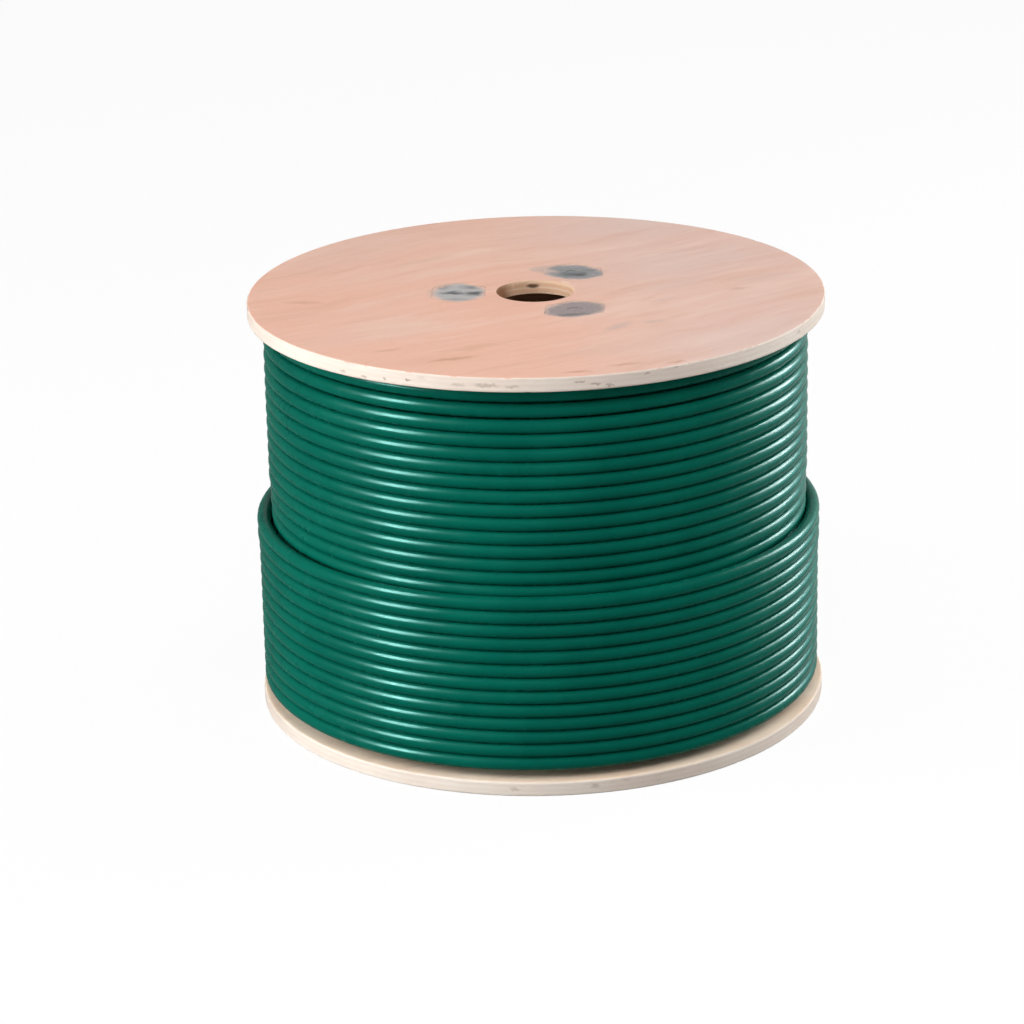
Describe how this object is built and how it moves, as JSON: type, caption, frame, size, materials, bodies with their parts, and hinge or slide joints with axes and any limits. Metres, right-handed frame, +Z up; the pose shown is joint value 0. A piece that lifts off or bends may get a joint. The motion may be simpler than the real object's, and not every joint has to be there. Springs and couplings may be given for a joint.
{
  "type": "wire spool",
  "caption": "Plywood cable reel on its lower flange, wound full with round green sheathed cable, the last layer part filled.",
  "frame": {"origin": "centre of the lower flange's foot, where the reel stands", "axes": "+Z up along the spindle hole, towards the top flange; +Y towards the back, where the cable's outer end is taped down"},
  "size_m": [0.3, 0.3, 0.22],
  "materials": {
    "flange_plywood": "bare sanded veneer, matt",
    "hub_plywood": "bare sawn plywood, matt",
    "barrel_board": "wound board tube, matt",
    "zinc_steel": "dull zinc plate",
    "nail_steel": "bright wire, slightly dulled",
    "cable_sheath": "smooth extruded sheath, semi-gloss",
    "cable_insulation": "foamed plastic, satin",
    "copper": "bare drawn wire, bright",
    "paper_tape": "creped paper, matt"
  },
  "bodies": {
    "root": {"bottom_flange": "flange_plywood", "top_flange": "flange_plywood", "bottom_hub_disc": "hub_plywood", "top_hub_disc": "hub_plywood", "barrel_tube": "barrel_board", "tie_rods": "zinc_steel", "bottom_tee_nuts": "zinc_steel", "top_tee_nuts": "zinc_steel", "bottom_hub_nails": "nail_steel", "top_hub_nails": "nail_steel", "cable_inner_layers": "cable_sheath", "cable_upper_turns": "cable_sheath", "cable_outer_turns": "cable_sheath", "cable_start_tail": "cable_sheath", "start_end_insulation": "cable_insulation", "start_end_conductor": "copper", "outer_end_insulation": "cable_insulation", "outer_end_conductor": "copper", "end_tape": "paper_tape"}
  },
  "joints": []
}
